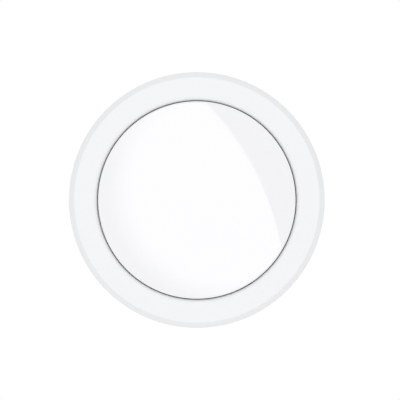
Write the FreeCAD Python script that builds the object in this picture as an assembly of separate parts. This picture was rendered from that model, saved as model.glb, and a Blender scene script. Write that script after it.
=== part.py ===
import FreeCAD, Part
import os
from math import acos, asin, cos, degrees, pi, radians, sin, sqrt, tan

V = FreeCAD.Vector
os.makedirs("parts", exist_ok=True)

# Radiator thermostat head, in millimetres. Every piece is drawn with x to the right, y up and
# z along the axis, from zero at the mouth of the union nut to the front cover. The last step
# turns each piece so that the front faces -Y, the valve lies at +Y and +Z is up.

# Union nut for an M30 x 1.5 valve thread
THREAD_RADIUS = 14.19
THREAD_DEPTH = 8.6
NUT_RADIUS = 18.5
NUT_LENGTH = 14.0
NUT_LIP = 2.6
NUT_RELIEF = 0.8
NUT_GAP = 0.6
GROOVE_COUNT = 12
GROOVE_WIDTH = 3.4
GROOVE_DEPTH = 0.9

# Collar that seats on the valve and traps the nut
FLANGE_THICKNESS = 2.1
FLANGE_CLEARANCE = 0.25
NECK_RADIUS = 11.8
SPIGOT_RADIUS = 10.8

# Clearances
RUNNING = 0.05
TURNING = 0.08
SEAT = 0.02
AXIAL_PLAY = 0.2
SEAM = 0.4

# Round body
BODY_WALL = 1.8
REAR_WALL = 2.0
REAR_CHAMFER = 2.0
REAR_CHAMFER_LENGTH = 1.2

# Battery cover in the underside
DOOR_HALF_WIDTH = 18.0
DOOR_GAP = 0.2
DOOR_RAIL = 1.2
DOOR_RAIL_HEIGHT = 1.5
DOOR_END = 1.2
GRIP_RADIUS = 14.0
GRIP_DEPTH = 0.8
GRIP_SETBACK = 7.0

# Sensor vents in the top of the body
VENT_COUNT = 7
VENT_WIDTH = 1.2
VENT_LENGTH = 5.0
VENT_STEP_DEG = 6.5
VENT_SETBACK = 7.0

# Two AA cells side by side
CELL_RADIUS = 7.25
CELL_LENGTH = 49.5
NUB_RADIUS = 2.75
NUB_LENGTH = 1.0
CELL_SPACING = 15.0
CELL_CLEARANCE = 0.35
CELL_TO_CASE = 0.575
CONTACT_SPACE = 1.6
CONTACT_THICKNESS = 0.3
CONTACT_WIDTH = 5.0
CONTACT_HALF_HEIGHT = 3.0
CONTACT_LEG_DROP = 1.0
BRIDGE_STRIP_END = 4.0

# Battery cradle
CRADLE_WALL = 1.0
CRADLE_TO_FRAME = 0.1
CRADLE_FACETS = 8
TROUGH_CLEARANCE = 0.15
TROUGH_START_DEG = -12.0
TROUGH_END_DEG = 88.0

# Spur gears, all with the same pair of tooth counts
MODULE = 0.75
PINION_TEETH = 8
WHEEL_TEETH = 24
PRESSURE_ANGLE = radians(20)
PROFILE_SHIFT = 0.5
PINION_TIP_CUT = 0.15
BACKLASH = 0.1
OUTPUT_FACE = 3.0
WHEEL_FACES = (2.0, 1.8, 1.6)
LAYER_GAP = 0.6
PIN_RADIUS = 0.75

# Gear case: a cup round both gear axes, a thrust plate, a bridge and a lid
CASE_WALL = 1.0
CASE_CLEARANCE = 0.4
CASE_FLOOR = 1.8
BEARING_LENGTH = 8.6
PLATE_THICKNESS = 1.2
BRIDGE_THICKNESS = 1.0
BRIDGE_GAP = 0.4
BRIDGE_HALF_WIDTH = 2.5
PLATE_MARGIN = 2.5
PLATE_SHOULDER_DEG = -10.0
PLATE_FOOT_DEG = -56.0
LID_THICKNESS = 1.5
LID_GAP = 0.4
PILLAR_WIDTH = 1.6

# Output sleeve and plunger
SLEEVE_RADIUS = 6.2
SLEEVE_FLANGE_RADIUS = 8.8
SLEEVE_FLANGE = 1.4
SCREW_THREAD_RADIUS = 4.0
PLUNGER_RADIUS = 5.0
PLUNGER_FLAT = 4.1
PLUNGER_RECESS = 1.0
GUIDE_LENGTH = 8.0
SCREW_LENGTH = 11.4

# Motor
MOTOR_RADIUS = 6.0
MOTOR_FLAT = 5.0
MOTOR_LENGTH = 15.0
MOTOR_CAP_LENGTH = 1.8
MOTOR_SHAFT_RADIUS = 0.5
MOTOR_SHAFT_DEPTH = 5.0
TERMINAL_INSET = 2.0
TERMINAL_WIDTH = 1.6
TERMINAL_HEIGHT = 2.4
TERMINAL_LENGTH = 1.0
FLEX_WIDTH = 5.0
FLEX_THICKNESS = 0.25
FLEX_END = 2.0
FLEX_STEP = 1.5

# Front frame, which closes the body and carries the ring, the board and the button
FRAME_PLATE = 1.6
FRAME_SIDES = 12
FRAME_SETBACK = 3.2
SPIGOT_WALL = 3.2
FRAME_LIP = 1.2
FRAME_LIP_GAP = 0.6
WINDOW_WIDTH = 12.0
WINDOW_HEIGHT = 9.0

# Setting ring
RING_LENGTH = 13.6
RING_WALL = 3.32
RING_LIP = 2.2
RING_LIP_REACH = 2.73
RING_CHAMFER = 1.15
MAGNET_COUNT = 8
MAGNET_WIDTH = 3.0
MAGNET_HEIGHT = 1.4
MAGNET_LENGTH = 2.4
MAGNET_INSET = 0.92

# Front cover, which is also the push button
COVER_GAP = 0.35
COVER_THICKNESS = 2.3
COVER_PROUD = 0.5
BUTTON_TRAVEL = 0.5
BUTTON_FRAME_CLEARANCE = 0.5
BUTTON_FRAME_THICKNESS = 1.5
HOOK_COUNT = 4
HOOK_START_DEG = 45.0
HOOK_WIDTH = 5.0
HOOK_WALL = 1.4
HOOK_REACH = 0.8
HOOK_BARB = 1.0
HOOK_PLAY = 0.1
HOOK_ROOM = 0.3

# Electronics
BOARD_CLEARANCE = 0.8
BOARD_SIDES = 12
BOARD_THICKNESS = 1.2
BOARD_STANDOFF = 3.8
BOSS_INSET = 2.4
BOSS_WIDTH = 3.0
BOSS_COUNT = 3
BOSS_START_DEG = 30
SWITCH_PLACES = ((0.0, 11.0), (-9.5, -10.5), (9.5, -10.5))
SWITCH_WIDTH = 4.5
SWITCH_HEIGHT = 2.8
STEM_WIDTH = 2.0
DISPLAY_WIDTH = 24.0
DISPLAY_HEIGHT = 12.0
DISPLAY_DEPTH = 3.0
MASK_DEPTH = 3.2
MASK_COLUMNS = 4
MASK_ROWS = 2
MASK_PITCH = 5.2
MASK_CELL = 3.8
CHIP_HEIGHT = 1.0
CHIP_GAP = 1.0
CONTROLLER_LENGTH = 7.0
CONTROLLER_WIDTH = 5.0
MEMORY_LENGTH = 4.0
MEMORY_WIDTH = 3.5
RING_SENSOR_LENGTH = 2.8
RING_SENSOR_WIDTH = 2.2
RING_SENSOR_HEIGHT = 0.9
RING_SENSOR_PLACES_DEG = (180.0, 166.0)
RADIO_LENGTH = 9.0
RADIO_WIDTH = 5.7
RADIO_THICKNESS = 0.8
RADIO_EDGE = 2.1
SHIELD_LENGTH = 6.0
SHIELD_MARGIN = 0.5
SHIELD_HEIGHT = 1.6
SENSOR_INSET = 3.2
SENSOR_WIDTH = 3.6
SENSOR_THICKNESS = 0.8
BEAD_SIZE = 1.6
BEAD_HEIGHT = 0.8
BEAD_LENGTH = 2.0
BEAD_FROM_END = 0.5

# Gear case: round the teeth of the largest wheel
wheel_tip = MODULE * (WHEEL_TEETH / 2 + 1 - PROFILE_SHIFT)
pinion_tip = MODULE * (PINION_TEETH / 2 + 1 + PROFILE_SHIFT) - PINION_TIP_CUT
case_inside = wheel_tip + CASE_CLEARANCE
case_outside = case_inside + CASE_WALL

# The body just holds a cell beside the gear case, and is as long as the cradle and the frame need
CRADLE_LENGTH = CELL_LENGTH + NUB_LENGTH + 2 * (CONTACT_SPACE + CRADLE_WALL)
BODY_LENGTH = REAR_WALL + CRADLE_LENGTH + CRADLE_TO_FRAME + FRAME_SETBACK
inner_radius = case_outside + CELL_TO_CASE + 2 * CELL_RADIUS + CELL_CLEARANCE
BODY_RADIUS = inner_radius + BODY_WALL

# The front end is fitted to the body
RING_BORE_RADIUS = BODY_RADIUS - RING_WALL
RING_HOLE_RADIUS = RING_BORE_RADIUS - RING_LIP_REACH
COVER_RADIUS = RING_HOLE_RADIUS - COVER_GAP
FRAME_SPIGOT_RADIUS = RING_BORE_RADIUS - TURNING
FRAME_BORE_RADIUS = FRAME_SPIGOT_RADIUS - SPIGOT_WALL
BOARD_RADIUS = FRAME_BORE_RADIUS - BOARD_CLEARANCE
BOSS_CIRCLE = BOARD_RADIUS - BOSS_INSET
button_frame_radius = FRAME_BORE_RADIUS - BUTTON_FRAME_CLEARANCE
BUTTON_FRAME_SIZE = sqrt(2) * (button_frame_radius - HOOK_WALL)

# Places along the axis, each from the piece behind it
flange_front = NUT_LENGTH - NUT_LIP - AXIAL_PLAY
flange_rear = flange_front - FLANGE_THICKNESS
body_rear = NUT_LENGTH + NUT_GAP
body_inside = body_rear + REAR_WALL
body_front = body_rear + BODY_LENGTH

# The gear axes: A is the axis of the head, B lies above it
pitch_sum = MODULE * (PINION_TEETH + WHEEL_TEETH) / 2
AXIS_A = (0.0, 0.0)
AXIS_B = (0.0, pitch_sum)

case_floor = body_inside + CASE_FLOOR
bearing_front = case_floor + BEARING_LENGTH
sleeve_rear = case_floor + AXIAL_PLAY
sleeve_flange_rear = bearing_front + AXIAL_PLAY
plate_rear = sleeve_flange_rear + SLEEVE_FLANGE + RUNNING
plate_front = plate_rear + PLATE_THICKNESS

# Layers of the gear train, from the output wheel forward to the motor pinion
output_rear = plate_front + LAYER_GAP
output_front = output_rear + OUTPUT_FACE
third_rear = output_front + LAYER_GAP
third_front = third_rear + WHEEL_FACES[0]
second_rear = third_front + LAYER_GAP
second_front = second_rear + WHEEL_FACES[1]
bridge_rear = second_front + BRIDGE_GAP
bridge_front = bridge_rear + BRIDGE_THICKNESS
first_rear = bridge_front + BRIDGE_GAP
first_front = first_rear + WHEEL_FACES[2]
pinion_front = first_front + LAYER_GAP
lid_rear = pinion_front + LID_GAP
lid_front = lid_rear + LID_THICKNESS
motor_front = lid_front + MOTOR_LENGTH
motor_end = motor_front + MOTOR_CAP_LENGTH

plunger_rear = flange_rear + PLUNGER_RECESS
guide_front = plunger_rear + GUIDE_LENGTH
screw_front = guide_front + SCREW_LENGTH

# Cells hang just inside the body, under the gear case
cell_x = CELL_SPACING / 2
cell_y = -sqrt((inner_radius - CELL_CLEARANCE - CELL_RADIUS) ** 2 - cell_x**2)
leg_top = cell_y + CELL_RADIUS - CONTACT_LEG_DROP
cell_rear = body_inside + CRADLE_WALL + CONTACT_SPACE
cell_front = cell_rear + CELL_LENGTH + NUB_LENGTH
cradle_rear = body_inside + SEAT
cradle_front = body_inside + CRADLE_LENGTH

# Front end
frame_rear = body_front - FRAME_SETBACK
frame_front = frame_rear + FRAME_PLATE
ring_rear = body_front + SEAM
ring_front = ring_rear + RING_LENGTH
frame_lip_front = ring_front - RING_LIP - FRAME_LIP_GAP
frame_lip_rear = frame_lip_front - FRAME_LIP
board_rear = frame_front + BOARD_STANDOFF
board_front = board_rear + BOARD_THICKNESS
cover_front = ring_front + COVER_PROUD
cover_back = cover_front - COVER_THICKNESS
button_frame_rear = cover_back - BUTTON_FRAME_THICKNESS
display_front = board_front + DISPLAY_DEPTH
switch_front = board_front + SWITCH_HEIGHT

# The temperature sensor's strip stands on the top of the frame, behind the vents
vent_front = body_front - VENT_SETBACK
sensor_low = inner_radius - SENSOR_INSET
sensor_high = sensor_low + SENSOR_THICKNESS


def at(position, z=0.0):
    """A point over a place (x, y) on the cross section."""
    return V(position[0], position[1], z)


def outline(corners):
    """The closed wire through a list of corners."""
    points = [V(x, y, 0) for x, y in corners]
    return Part.makePolygon(points + points[:1])


def polygon(radius, sides):
    """The corners of a regular outline that has a side straight above the axis."""
    return [polar(radius, 360.0 * (i + 0.5) / sides) for i in range(sides)]


def prism(shape, z0, z1):
    """A closed wire, or a list of corners, extruded from z0 to z1."""
    face = Part.Face(outline(shape) if isinstance(shape, list) else shape)
    face.translate(V(0, 0, z0))
    return face.extrude(V(0, 0, z1 - z0))


def turned(profile):
    """A profile of (radius, z) corners turned round the axis."""
    face = Part.Face(outline(profile))
    face.rotate(V(0, 0, 0), V(1, 0, 0), 90)
    return face.revolve(V(0, 0, 0), V(0, 0, 1), 360)


def disc(radius, z0, z1, position=AXIS_A):
    return Part.makeCylinder(radius, z1 - z0, at(position, z0))


def tube(outer, inner, z0, z1, position=AXIS_A):
    return disc(outer, z0, z1, position).cut(disc(inner, z0, z1, position))


def block(x0, x1, y0, y1, z0, z1):
    return Part.makeBox(x1 - x0, y1 - y0, z1 - z0, V(x0, y0, z0))


def turned_by(shape, angle):
    """A copy of a shape turned about the axis of the head, by an angle in degrees."""
    copy = shape.copy()
    copy.rotate(V(0, 0, 0), V(0, 0, 1), angle)
    return copy


def spaced(shape, count, start=0.0):
    """Copies of a shape evenly round the axis, the first one at start degrees."""
    return [turned_by(shape, start + 360.0 * i / count) for i in range(count)]


def mirrored(shape):
    """The shape and its copy on the other side of x = 0."""
    return [shape, shape.mirror(V(0, 0, 0), V(1, 0, 0))]


def polar(radius, angle):
    """The place at a radius and an angle in degrees."""
    return (radius * cos(radians(angle)), radius * sin(radians(angle)))


def double_d(radius, flat, z0, z1):
    """A round bar with two flats, above and below."""
    return disc(radius, z0, z1).common(block(-radius, radius, -flat, flat, z0, z1))


def case_shape(radius, z0, z1):
    """A slab round both gear axes: round below, and square above with its corners cut."""
    top = AXIS_B[1] + radius
    cut = radius / 3
    half_round = Part.Arc(V(-radius, 0, 0), V(0, -radius, 0), V(radius, 0, 0)).toShape()
    rest = Part.makePolygon([
        V(radius, 0, 0), V(radius, top - cut, 0), V(radius - cut, top, 0), V(cut - radius, top, 0),
        V(-radius, top - cut, 0), V(-radius, 0, 0),
    ])
    return prism(Part.Wire([half_round] + rest.Edges), z0, z1)


def save(name, *shapes):
    """Turn the piece into the part's frame and write it."""
    whole = Part.Compound([s.copy() for s in shapes]) if len(shapes) > 1 else shapes[0].copy()
    whole.rotate(V(0, 0, 0), V(1, 0, 0), 90)
    whole.exportStep("parts/" + name + ".step")


# Involute gears
def involute(angle):
    return tan(angle) - angle


def gear(teeth, shift, tip_radius, z0, z1, position, tooth_towards_deg, on_tooth):
    """A spur gear with a tooth, or else a gap, that points at the mating axis.

    Each flank is two chords of the involute, laid inside it.
    """
    pitch_radius = MODULE * teeth / 2
    base_radius = pitch_radius * cos(PRESSURE_ANGLE)
    root_radius = MODULE * (teeth / 2 - 1.25 + shift)
    thickness = MODULE * (pi / 2 + 2 * shift * tan(PRESSURE_ANGLE)) - BACKLASH / 2

    def half_width(radius):
        angle = acos(min(base_radius / radius, 1.0))
        return thickness / (2 * pitch_radius) + involute(PRESSURE_ANGLE) - involute(angle)

    flank_start = max(root_radius, base_radius)
    flank_middle = (flank_start + tip_radius) / 2
    flank = [(root_radius, half_width(flank_start)), (flank_middle, half_width(flank_middle))]
    flank.append((tip_radius, half_width(tip_radius)))
    first = radians(tooth_towards_deg) + (0 if on_tooth else pi / teeth)
    corners = []
    for i in range(teeth):
        middle = first + 2 * pi * i / teeth
        for radius, half in flank:
            corners.append(V(radius * cos(middle - half), radius * sin(middle - half), 0))
        for radius, half in reversed(flank):
            corners.append(V(radius * cos(middle + half), radius * sin(middle + half), 0))
    body = prism(Part.makePolygon(corners + corners[:1]), z0, z1)
    body.translate(at(position))
    return body


def wheel(z0, z1, position, mate_deg):
    return gear(WHEEL_TEETH, -PROFILE_SHIFT, wheel_tip, z0, z1, position, mate_deg, False)


def pinion(z0, z1, position, mate_deg):
    return gear(PINION_TEETH, PROFILE_SHIFT, pinion_tip, z0, z1, position, mate_deg, True)


def compound_gear(pinion_rear, wheel_rear, wheel_front, position, mate_deg):
    """A wheel and a pinion in one piece, free to turn on its pin."""
    body = wheel(wheel_rear, wheel_front, position, mate_deg)
    body = body.fuse(pinion(pinion_rear, wheel_rear, position, mate_deg)).removeSplitter()
    return body.cut(disc(PIN_RADIUS + RUNNING, pinion_rear, wheel_front, position))


# The direction from one gear axis to the other, in degrees
TOWARDS_B, TOWARDS_A = 90, 270


# Union nut: a grooved grip, a threaded bore and a lip in front of the collar's flange
def union_nut():
    bore_front = flange_front + AXIAL_PLAY
    lip_radius = NECK_RADIUS + TURNING
    body = turned([
        (THREAD_RADIUS, 0), (NUT_RADIUS, 0), (NUT_RADIUS, NUT_LENGTH),
        (lip_radius, NUT_LENGTH), (lip_radius, bore_front),
        (THREAD_RADIUS + NUT_RELIEF, bore_front), (THREAD_RADIUS + NUT_RELIEF, THREAD_DEPTH),
        (THREAD_RADIUS, THREAD_DEPTH),
    ])
    half = GROOVE_WIDTH / 2
    groove = block(NUT_RADIUS - GROOVE_DEPTH, NUT_RADIUS, -half, half, 0, NUT_LENGTH)
    return body.cut(Part.Compound(spaced(groove, GROOVE_COUNT)))


# Collar: a flanged sleeve that clamps the body's rear wall to the gear case
def collar():
    body = turned([
        (0, flange_rear), (THREAD_RADIUS - FLANGE_CLEARANCE, flange_rear),
        (THREAD_RADIUS - FLANGE_CLEARANCE, flange_front), (NECK_RADIUS, flange_front),
        (NECK_RADIUS, body_rear), (SPIGOT_RADIUS, body_rear), (SPIGOT_RADIUS, body_inside),
        (0, body_inside),
    ])
    guide = double_d(PLUNGER_RADIUS + RUNNING, PLUNGER_FLAT + RUNNING, flange_rear, body_inside)
    return body.cut(guide)


# Body: a round shell with a rear wall, a battery opening below and vents above
def door_box(gap):
    """The block of space that the battery cover fills, drawn in by a gap."""
    half = DOOR_HALF_WIDTH - gap
    rear = cradle_rear + DOOR_END + gap
    front = cradle_front - DOOR_END - gap
    return block(-half, half, -BODY_RADIUS, 0, rear, front)


def housing():
    shell = turned([
        (BODY_RADIUS - REAR_CHAMFER, body_rear), (BODY_RADIUS, body_rear + REAR_CHAMFER_LENGTH),
        (BODY_RADIUS, body_front),
        (inner_radius, body_front), (inner_radius, body_inside),
        (SPIGOT_RADIUS + SEAT, body_inside), (SPIGOT_RADIUS + SEAT, body_rear),
    ])
    half = VENT_WIDTH / 2
    slot = block(inner_radius - BODY_WALL, BODY_RADIUS + BODY_WALL, -half, half,
                 vent_front - VENT_LENGTH, vent_front)
    first = 90 - VENT_STEP_DEG * (VENT_COUNT - 1) / 2
    slots = [turned_by(slot, first + VENT_STEP_DEG * i) for i in range(VENT_COUNT)]
    return shell.cut(door_box(0)).cut(Part.Compound(slots))


def battery_cover():
    """The cover continues the body's wall, with a rail along each side and a thumb grip."""
    space = door_box(DOOR_GAP)
    box = space.BoundBox
    skin = tube(BODY_RADIUS, inner_radius, box.ZMin, box.ZMax).common(space)
    edge_y = -sqrt(inner_radius**2 - box.XMax**2)
    rail = block(box.XMax - DOOR_RAIL, box.XMax, -BODY_RADIUS, edge_y + DOOR_RAIL_HEIGHT,
                 box.ZMin, box.ZMax)
    rail = rail.common(disc(inner_radius + BODY_WALL / 2, box.ZMin, box.ZMax))
    body = skin.fuse(mirrored(rail)).removeSplitter()
    grip = Part.makeCylinder(GRIP_RADIUS, DOOR_HALF_WIDTH, V(-DOOR_HALF_WIDTH / 2, 0, 0), V(1, 0, 0))
    grip.translate(V(0, -BODY_RADIUS - GRIP_RADIUS + GRIP_DEPTH, box.ZMax - GRIP_SETBACK))
    return body.cut(grip)


# Gear case and its plates
def gear_case():
    """A cup round the gears with a bearing for the output sleeve and two seats at the waist."""
    cup = case_shape(case_outside, body_inside, lid_rear).cut(
        case_shape(case_inside, case_floor, lid_rear))
    bearing = disc(case_inside + CASE_WALL / 2, case_floor, bearing_front)
    seats = [post(case_floor, plate_rear, CASE_WALL / 2, side) for side in (-1, 1)]
    body = cup.fuse([bearing] + seats).removeSplitter()
    body = body.cut(disc(SLEEVE_RADIUS + RUNNING, case_floor, bearing_front))
    return body.cut(disc(PLUNGER_RADIUS + AXIAL_PLAY, body_inside, case_floor))


def post(z0, z1, into_wall, side):
    """A post at the waist of the case, where no wheel passes."""
    half = PILLAR_WIDTH / 2
    y = AXIS_B[1] / 2
    corner = sqrt((wheel_tip + CASE_CLEARANCE) ** 2 - (y - half) ** 2)
    outer = case_inside + into_wall
    xs = sorted((side * corner, side * outer))
    return block(xs[0], xs[1], y - half, y + half, z0, z1)


def thrust_plate():
    """A steel plate in front of the sleeve's flange. It takes the push and one end of pin B."""
    side = case_inside - SEAT
    top = AXIS_B[1] + PLATE_MARGIN
    low = polar(side, PLATE_SHOULDER_DEG)
    foot = polar(side, PLATE_FOOT_DEG)
    body = prism([(low[0], low[1]), (low[0], top), (-low[0], top), (-low[0], low[1]),
                  (-foot[0], foot[1]), (foot[0], foot[1])], plate_rear, plate_front)
    body = body.cut(disc(SLEEVE_RADIUS + AXIAL_PLAY, plate_rear, plate_front))
    return body.cut(disc(PIN_RADIUS + SEAT, plate_rear, plate_front, AXIS_B))


def bridge_plate():
    """A strap across the case, on the pillars, that holds the front end of pin A."""
    side = sqrt((case_inside - SEAT) ** 2 - BRIDGE_HALF_WIDTH**2)
    top = (AXIS_B[1] + PILLAR_WIDTH) / 2
    body = block(-side, side, -BRIDGE_HALF_WIDTH, top, bridge_rear, bridge_front)
    return body.cut(disc(PIN_RADIUS + SEAT, bridge_rear, bridge_front))


def case_lid():
    """The lid closes the cup, holds the bridge down on its two legs and carries the motor."""
    legs = [post(bridge_front, lid_rear, -SEAT, side) for side in (-1, 1)]
    body = case_shape(case_outside, lid_rear, lid_front).fuse(legs).removeSplitter()
    body = body.cut(disc(PIN_RADIUS + RUNNING, lid_rear, lid_front))
    return body.cut(disc(PIN_RADIUS + SEAT, lid_rear, lid_front, AXIS_B))


# Output sleeve: a brass nut that the output wheel turns and the plunger's screw runs in
nose_radius = PIN_RADIUS + RUNNING
screw_space = screw_front + AXIAL_PLAY


def output_sleeve():
    bore = SCREW_THREAD_RADIUS + RUNNING
    nose_front = output_front + AXIAL_PLAY
    pin_rear = screw_space + PLATE_THICKNESS
    return turned([
        (bore, sleeve_rear), (SLEEVE_RADIUS, sleeve_rear), (SLEEVE_RADIUS, sleeve_flange_rear),
        (SLEEVE_FLANGE_RADIUS, sleeve_flange_rear),
        (SLEEVE_FLANGE_RADIUS, sleeve_flange_rear + SLEEVE_FLANGE),
        (SLEEVE_RADIUS, sleeve_flange_rear + SLEEVE_FLANGE), (SLEEVE_RADIUS, nose_front),
        (nose_radius, nose_front), (nose_radius, pin_rear), (0, pin_rear), (0, screw_space),
        (bore, screw_space),
    ])


def output_wheel():
    body = wheel(output_rear, output_front, AXIS_A, TOWARDS_B)
    return body.cut(disc(SLEEVE_RADIUS + SEAT, output_rear, output_front))


def plunger():
    """The plunger slides on two flats in the collar and carries the screw."""
    shank = double_d(PLUNGER_RADIUS, PLUNGER_FLAT, plunger_rear, guide_front)
    return shank.fuse(disc(SCREW_THREAD_RADIUS, guide_front, screw_front)).removeSplitter()


# Motor
def motor_can():
    body = double_d(MOTOR_RADIUS, MOTOR_FLAT, lid_front, motor_front)
    shaft_end = lid_front + MOTOR_SHAFT_DEPTH
    return body.cut(disc(MOTOR_SHAFT_RADIUS + RUNNING, lid_front, shaft_end))


def motor_cap():
    """The plastic end cap with its two terminals."""
    cap = double_d(MOTOR_RADIUS - CASE_WALL / 2, MOTOR_FLAT - CASE_WALL / 2, motor_front, motor_end)
    half = TERMINAL_HEIGHT / 2
    terminal = block(TERMINAL_INSET, TERMINAL_INSET + TERMINAL_WIDTH, -half, half,
                     motor_end, motor_end + TERMINAL_LENGTH)
    return cap.fuse(mirrored(terminal)).removeSplitter()


def motor_shaft():
    front = lid_front + MOTOR_SHAFT_DEPTH - AXIAL_PLAY
    return disc(MOTOR_SHAFT_RADIUS, first_rear, front)


def motor_pinion():
    body = pinion(first_rear - AXIAL_PLAY, pinion_front, AXIS_A, TOWARDS_B)
    return body.cut(disc(MOTOR_SHAFT_RADIUS + SEAT, first_rear - AXIAL_PLAY, pinion_front))


def motor_flex():
    """A ribbon from the motor's terminals, through the frame's window, to the board."""
    rear = motor_end + TERMINAL_LENGTH
    front = board_rear - SEAT
    bend = (rear + board_rear) / 2
    t = FLEX_THICKNESS
    low, high = FLEX_END, FLEX_END + FLEX_STEP
    corners = [
        (rear, -low), (rear + t, -low), (rear + t, low - t), (bend, low - t), (bend, high - t),
        (front, high - t), (front, high), (bend - t, high), (bend - t, low), (rear, low),
    ]
    face = Part.Face(Part.makePolygon([V(-FLEX_WIDTH / 2, y, z) for z, y in corners + corners[:1]]))
    return face.extrude(V(FLEX_WIDTH, 0, 0))


# Batteries and their cradle
def cell(side, nub_to_front):
    """One AA cell, with its positive nub towards one end."""
    body_start = cell_rear if nub_to_front else cell_rear + NUB_LENGTH
    nub_start = body_start + CELL_LENGTH if nub_to_front else cell_rear
    place = (side * cell_x, cell_y)
    body = disc(CELL_RADIUS, body_start, body_start + CELL_LENGTH, place)
    return body.fuse(disc(NUB_RADIUS, nub_start, nub_start + NUB_LENGTH, place)).removeSplitter()


def trough(z0, z1):
    """The part of a cradle that wraps the outer top of one cell."""
    inner = CELL_RADIUS + TROUGH_CLEARANCE
    angles = [radians(TROUGH_START_DEG), radians(TROUGH_END_DEG)]
    middle = sum(angles) / 2

    def on(radius, angle):
        return V(cell_x + radius * cos(angle), cell_y + radius * sin(angle), 0)

    outer = inner + CRADLE_WALL
    edges = [
        Part.Arc(on(inner, angles[0]), on(inner, middle), on(inner, angles[1])).toShape(),
        Part.makeLine(on(inner, angles[1]), on(outer, angles[1])),
        Part.Arc(on(outer, angles[1]), on(outer, middle), on(outer, angles[0])).toShape(),
        Part.makeLine(on(outer, angles[0]), on(inner, angles[0])),
    ]
    return prism(Part.Wire(edges), z0, z1)


def cradle_end(z0, z1):
    """An end wall of the cradle: the foot of the round body under the gear case."""
    reach = inner_radius - SEAT
    top = cell_y + CELL_RADIUS + TROUGH_CLEARANCE + CRADLE_WALL
    rise = degrees(asin(top / reach))
    step = (180 + 2 * rise) / CRADLE_FACETS
    body = prism([polar(reach, rise - step * i) for i in range(CRADLE_FACETS + 1)], z0, z1)
    return body.cut(disc(case_outside + SEAT, z0, z1))


def battery_cradle():
    rear = cradle_end(cradle_rear, cradle_rear + CRADLE_WALL)
    front = cradle_end(cradle_front - CRADLE_WALL, cradle_front)
    sides = mirrored(trough(cradle_rear, cradle_front))
    leg_slots = Part.Compound(mirrored(contact_leg(SEAT)))
    body = rear.fuse([front] + sides).removeSplitter().cut(leg_slots)
    return body.cut(Part.Compound([door_box(0).cut(disc(inner_radius - 2 * DOOR_GAP, 0, body_front))]))


def contact_leg(grow):
    """The tab that takes a front contact through the walls to the board."""
    half = CONTACT_WIDTH / 2 + grow
    return block(cell_x - half, cell_x + half, leg_top - CONTACT_THICKNESS - grow, leg_top + grow,
                 cradle_front - CRADLE_WALL - CONTACT_THICKNESS - grow, board_rear - SEAT)


def tongue(wall_z, tip_z, x):
    """A folded leaf that reaches from its plate to the cell's end."""
    half = CONTACT_WIDTH / 2
    low, high = cell_y - CONTACT_WIDTH / 2, cell_y + CONTACT_WIDTH / 2
    foot = 2 * CONTACT_THICKNESS
    under = tip_z - CONTACT_THICKNESS if tip_z > wall_z else tip_z + CONTACT_THICKNESS
    corners = [(wall_z, low), (wall_z, low + foot), (under, cell_y), (wall_z, high - foot),
               (wall_z, high), (tip_z, cell_y)]
    points = [V(x - half, y, z) for z, y in corners]
    return Part.Face(Part.makePolygon(points + points[:1])).extrude(V(CONTACT_WIDTH, 0, 0))


def contact_bridge():
    """The rear strip that joins the two cells in series."""
    wall = cradle_rear + CRADLE_WALL
    t = CONTACT_THICKNESS
    end = cell_x + BRIDGE_STRIP_END
    strip = block(-end, end, cell_y - CONTACT_HALF_HEIGHT, cell_y + CONTACT_HALF_HEIGHT, wall, wall + t)
    left = tongue(wall + t, cell_rear - SEAT, -cell_x)
    right = tongue(wall + t, cell_rear - SEAT, cell_x)
    return strip.fuse([left, right]).removeSplitter()


def front_contacts():
    """The two front contacts, each with its leg to the board."""
    wall = cradle_front - CRADLE_WALL
    t = CONTACT_THICKNESS
    plate = block(cell_x - CONTACT_WIDTH / 2, cell_x + CONTACT_WIDTH / 2,
                  cell_y - CONTACT_HALF_HEIGHT, leg_top, wall - t, wall)
    leg = contact_leg(0)
    right = plate.fuse([leg, tongue(wall - t, cell_front + NUB_LENGTH + SEAT, cell_x)])
    left = plate.fuse([leg, tongue(wall - t, cell_front + SEAT, cell_x)])
    return [right.removeSplitter(), left.removeSplitter().mirror(V(0, 0, 0), V(1, 0, 0))]


# Front frame
def front_frame():
    """A plate across the body with a spigot that the setting ring turns on."""
    plate = prism(polygon(inner_radius - SEAT, FRAME_SIDES), frame_rear, frame_front)
    spigot = tube(FRAME_SPIGOT_RADIUS, FRAME_BORE_RADIUS, frame_front, frame_lip_front)
    half = BOSS_WIDTH / 2
    boss = block(BOSS_CIRCLE - half, BOSS_CIRCLE + half, -half, half, frame_front, board_rear)
    body = plate.fuse([spigot] + spaced(boss, BOSS_COUNT, BOSS_START_DEG)).removeSplitter()
    hook_half = HOOK_WIDTH / 2 + HOOK_ROOM
    pocket = block(button_frame_radius - HOOK_WALL, FRAME_BORE_RADIUS + HOOK_REACH + HOOK_ROOM,
                   -hook_half, hook_half, board_front, frame_lip_rear)
    window = block(-WINDOW_WIDTH / 2, WINDOW_WIDTH / 2, -WINDOW_HEIGHT / 2, WINDOW_HEIGHT / 2,
                   frame_rear, frame_front)
    openings = mirrored(contact_leg(SEAT)) + spaced(pocket, HOOK_COUNT, HOOK_START_DEG)
    return body.cut(window).cut(Part.Compound(openings + [sensor_slot()]))


# Electronics
def main_board():
    return prism(polygon(BOARD_RADIUS, BOARD_SIDES), board_rear, board_front)


def on_board(x, y, length, width, height):
    """A block on the board, with its middle over (x, y)."""
    return block(x - length / 2, x + length / 2, y - width / 2, y + width / 2,
                 board_front, board_front + height)


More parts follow.
